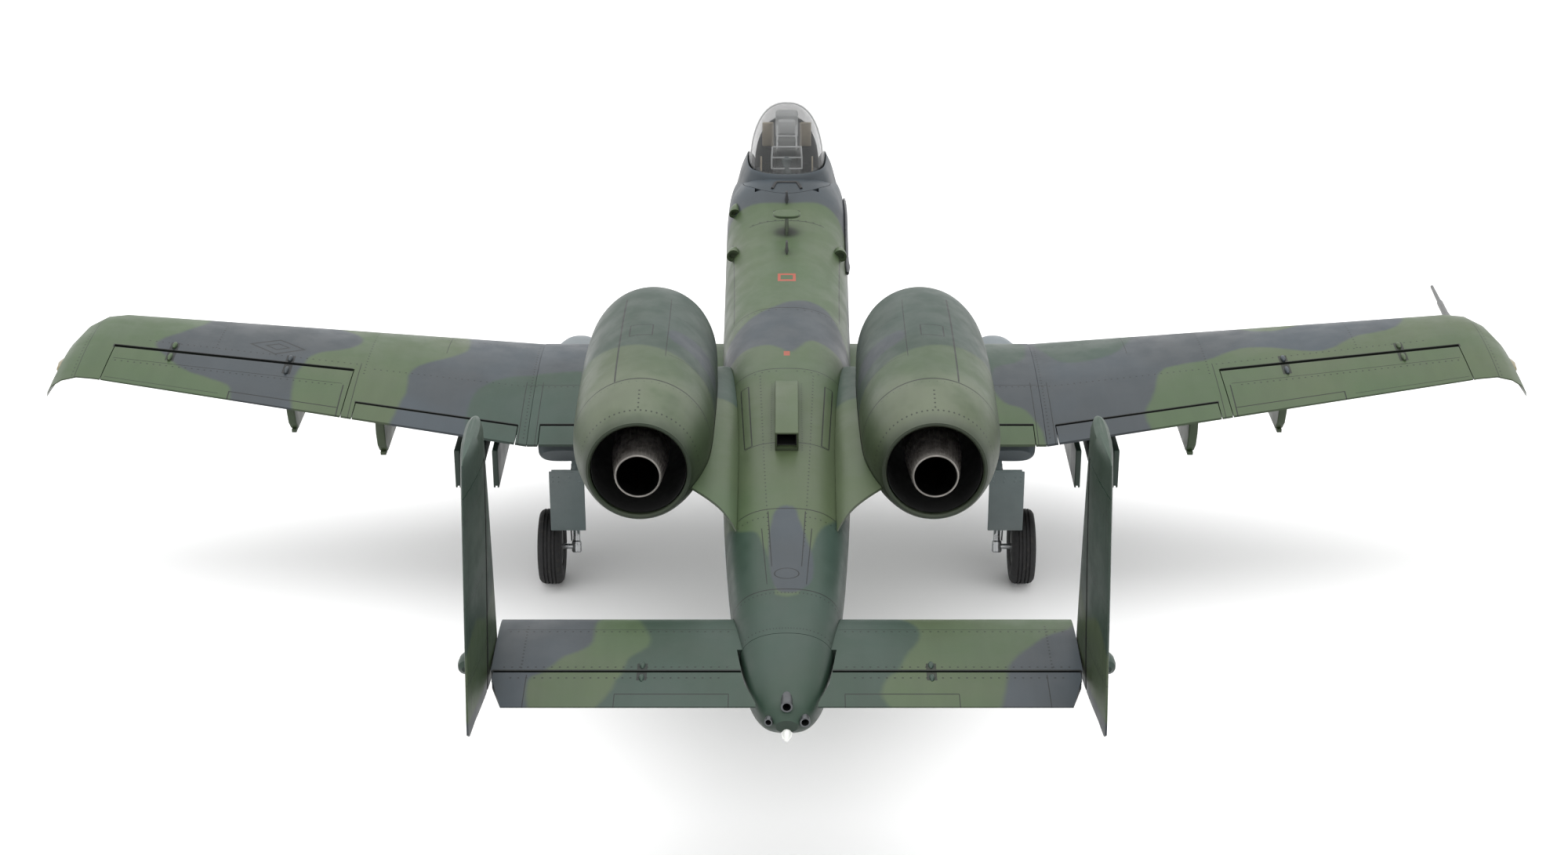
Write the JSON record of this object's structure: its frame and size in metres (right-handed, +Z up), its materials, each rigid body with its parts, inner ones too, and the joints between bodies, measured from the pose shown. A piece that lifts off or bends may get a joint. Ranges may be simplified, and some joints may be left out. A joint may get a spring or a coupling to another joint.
{
  "type": "twin-engine ducted-fan model aeroplane",
  "caption": "Radio-controlled twin-engine ground-attack jet model in green and grey camouflage, on a retracting tricycle undercarriage, with a hinged canopy hatch.",
  "frame": {"origin": "on the ground under the middle of the model's bounding box", "axes": "+X to the right wing tip, +Y to the nose, +Z up"},
  "size_m": [1.5, 1.3844, 0.4321],
  "materials": {
    "painted_foam": "satin camouflage paint over moulded foam",
    "grey_foam": "satin grey paint over moulded plastic",
    "dark_foam": "satin dark green paint over moulded foam",
    "gun_metal": "satin",
    "carbon": "satin pultruded tube",
    "bare_metal": "satin",
    "battery_wrap": "shrink wrap over laminated cells",
    "black_plastic": "satin",
    "canopy_clear": "clear, polished",
    "cockpit_plastic": "matte",
    "tyre_rubber": "matte",
    "wheel_rim": "satin",
    "nozzle_plastic": "metallic paint, heat stained",
    "motor_steel": "satin"
  },
  "bodies": {
    "airframe": {"fuselage": "painted_foam", "nose_cap": "grey_foam", "gun_barrels": "gun_metal", "tail_cone": "dark_foam", "wing_center": "painted_foam", "wing_spar_tube": "carbon", "pitot_probe": "bare_metal", "dorsal_duct": "painted_foam", "blade_antenna": "painted_foam", "tailplane": "painted_foam", "battery_pack": "battery_wrap", "receiver": "black_plastic", "wing_panel_left": "painted_foam", "wing_panel_right": "painted_foam", "gear_pod_left": "painted_foam", "gear_pod_right": "painted_foam", "nacelle_left": "painted_foam", "nacelle_right": "painted_foam", "core_nozzle_left": "nozzle_plastic", "core_nozzle_right": "nozzle_plastic", "fan_motor_left": "motor_steel", "fan_motor_right": "motor_steel", "engine_pylon_left": "painted_foam", "engine_pylon_right": "painted_foam", "fin_left": "painted_foam", "fin_right": "painted_foam", "pylon_inner_left": "grey_foam", "pylon_inner_right": "grey_foam", "pylon_middle_left": "painted_foam", "pylon_middle_right": "painted_foam", "pylon_outer_left": "painted_foam", "pylon_outer_right": "painted_foam"},
    "hatch": {"hatch_frame": "grey_foam", "canopy_glass": "canopy_clear", "cockpit_tub": "cockpit_plastic", "pilot_seat": "cockpit_plastic"},
    "nose_leg": {"nose_strut": "bare_metal"},
    "nose_steering": {"nose_fork": "bare_metal"},
    "nose_wheel": {"nose_tyre": "tyre_rubber", "nose_rim": "wheel_rim"},
    "flap_inner_left": {"flap_inner_left": "painted_foam"},
    "flap_inner_right": {"flap_inner_right": "painted_foam"},
    "flap_outer_left": {"flap_outer_left": "painted_foam"},
    "flap_outer_right": {"flap_outer_right": "painted_foam"},
    "aileron_left": {"aileron_left": "painted_foam"},
    "aileron_right": {"aileron_right": "painted_foam"},
    "elevator_left": {"elevator_left": "painted_foam"},
    "elevator_right": {"elevator_right": "painted_foam"},
    "rudder_left": {"rudder_left": "painted_foam"},
    "rudder_right": {"rudder_right": "painted_foam"},
    "main_leg_left": {"main_strut_left": "bare_metal"},
    "main_wheel_left": {"main_tyre_left": "tyre_rubber", "main_rim_left": "wheel_rim"},
    "leg_door_left": {"strut_door_left": "grey_foam"},
    "fan_left": {"fan_rotor_left": "black_plastic"},
    "main_leg_right": {"main_strut_right": "bare_metal"},
    "main_wheel_right": {"main_tyre_right": "tyre_rubber", "main_rim_right": "wheel_rim"},
    "leg_door_right": {"strut_door_right": "grey_foam"},
    "fan_right": {"fan_rotor_right": "black_plastic"}
  },
  "joints": [
    {"name": "hatch_hinge", "type": "hinge", "parent": "airframe", "child": "hatch", "pos_m": [0, 0.30205, 0.31917], "axis": [1, 0, 0], "range_deg": [0, 40]},
    {"name": "flap_inner_left_hinge", "type": "hinge", "parent": "airframe", "child": "flap_inner_left", "pos_m": [-0.166, -0.05048, 0.18243], "axis": [1, 0, 0], "range_deg": [0, 30]},
    {"name": "flap_inner_right_hinge", "type": "hinge", "parent": "airframe", "child": "flap_inner_right", "pos_m": [0.166, -0.05048, 0.18243], "axis": [1, 0, 0], "range_deg": [0, 30]},
    {"name": "flap_outer_left_hinge", "type": "hinge", "parent": "airframe", "child": "flap_outer_left", "pos_m": [-0.35553, -0.04877, 0.19523], "axis": [0.9894, -0.0512, -0.136], "range_deg": [0, 30]},
    {"name": "flap_outer_right_hinge", "type": "hinge", "parent": "airframe", "child": "flap_outer_right", "pos_m": [0.35553, -0.04877, 0.19523], "axis": [0.9894, 0.0512, 0.136], "range_deg": [0, 30]},
    {"name": "aileron_left_hinge", "type": "hinge", "parent": "airframe", "child": "aileron_left", "pos_m": [-0.56988, 0.01198, 0.2259], "axis": [0.9908, 0.021, -0.134], "range_deg": [-20, 20]},
    {"name": "aileron_right_hinge", "type": "hinge", "parent": "airframe", "child": "aileron_right", "pos_m": [0.56988, 0.01198, 0.2259], "axis": [0.9908, -0.021, 0.134], "range_deg": [-20, 20]},
    {"name": "elevator_left_hinge", "type": "hinge", "parent": "airframe", "child": "elevator_left", "pos_m": [-0.13862, -0.62293, 0.22076], "axis": [1, 0, 0], "range_deg": [-20, 20]},
    {"name": "elevator_right_hinge", "type": "hinge", "parent": "airframe", "child": "elevator_right", "pos_m": [0.13862, -0.62293, 0.22076], "axis": [1, 0, 0], "range_deg": [-20, 20]},
    {"name": "rudder_left_hinge", "type": "hinge", "parent": "airframe", "child": "rudder_left", "pos_m": [-0.24771, -0.61294, 0.29521], "axis": [0.0187, 0.1291, 0.9915], "range_deg": [-20, 20]},
    {"name": "rudder_right_hinge", "type": "hinge", "parent": "airframe", "child": "rudder_right", "pos_m": [0.24771, -0.61294, 0.29521], "axis": [-0.0187, 0.1291, 0.9915], "range_deg": [-20, 20]},
    {"name": "main_retract_left", "type": "hinge", "parent": "airframe", "child": "main_leg_left", "pos_m": [-0.21991, 0.01797, 0.15659], "axis": [1, 0, 0], "range_deg": [0, 95]},
    {"name": "main_wheel_left_spin", "type": "hinge", "parent": "main_leg_left", "child": "main_wheel_left", "pos_m": [-0.24558, -0.02481, 0.03936], "axis": [1, 0, 0], "continuous": true},
    {"name": "leg_door_left_hinge", "type": "hinge", "parent": "airframe", "child": "leg_door_left", "pos_m": [-0.22504, -0.05391, 0.13948], "axis": [1, 0, 0], "range_deg": [0, 78]},
    {"name": "fan_left_spin", "type": "hinge", "parent": "airframe", "child": "fan_left", "pos_m": [-0.13092, -0.12578, 0.28836], "axis": [0, 1, 0], "continuous": true},
    {"name": "main_retract_right", "type": "hinge", "parent": "airframe", "child": "main_leg_right", "pos_m": [0.21991, 0.01797, 0.15659], "axis": [1, 0, 0], "range_deg": [0, 95]},
    {"name": "main_wheel_right_spin", "type": "hinge", "parent": "main_leg_right", "child": "main_wheel_right", "pos_m": [0.24558, -0.02481, 0.03936], "axis": [1, 0, 0], "continuous": true},
    {"name": "leg_door_right_hinge", "type": "hinge", "parent": "airframe", "child": "leg_door_right", "pos_m": [0.22504, -0.05391, 0.13948], "axis": [1, 0, 0], "range_deg": [0, 78]},
    {"name": "fan_right_spin", "type": "hinge", "parent": "airframe", "child": "fan_right", "pos_m": [0.13092, -0.12578, 0.28836], "axis": [0, 1, 0], "continuous": true},
    {"name": "nose_retract", "type": "hinge", "parent": "airframe", "child": "nose_leg", "pos_m": [0.02396, 0.43468, 0.15659], "axis": [1, 0, 0], "range_deg": [0, 85]},
    {"name": "nose_steer", "type": "hinge", "parent": "nose_leg", "child": "nose_steering", "pos_m": [0.02396, 0.43468, 0.0753], "axis": [0, 0, 1], "range_deg": [-15, 15]},
    {"name": "nose_wheel_spin", "type": "hinge", "parent": "nose_steering", "child": "nose_wheel", "pos_m": [0.02396, 0.42698, 0.02567], "axis": [1, 0, 0], "continuous": true}
  ],
  "couplings": [
    {"joint": "flap_outer_left_hinge", "follows": "flap_inner_left_hinge", "ratio": 1},
    {"joint": "flap_inner_right_hinge", "follows": "flap_inner_left_hinge", "ratio": 1},
    {"joint": "flap_outer_right_hinge", "follows": "flap_inner_left_hinge", "ratio": 1},
    {"joint": "aileron_right_hinge", "follows": "aileron_left_hinge", "ratio": -1},
    {"joint": "elevator_right_hinge", "follows": "elevator_left_hinge", "ratio": 1},
    {"joint": "rudder_right_hinge", "follows": "rudder_left_hinge", "ratio": 1},
    {"joint": "main_retract_right", "follows": "main_retract_left", "ratio": 1},
    {"joint": "nose_retract", "follows": "main_retract_left", "ratio": 0.894},
    {"joint": "leg_door_left_hinge", "follows": "main_retract_left", "ratio": 0.82},
    {"joint": "leg_door_right_hinge", "follows": "main_retract_left", "ratio": 0.82}
  ]
}
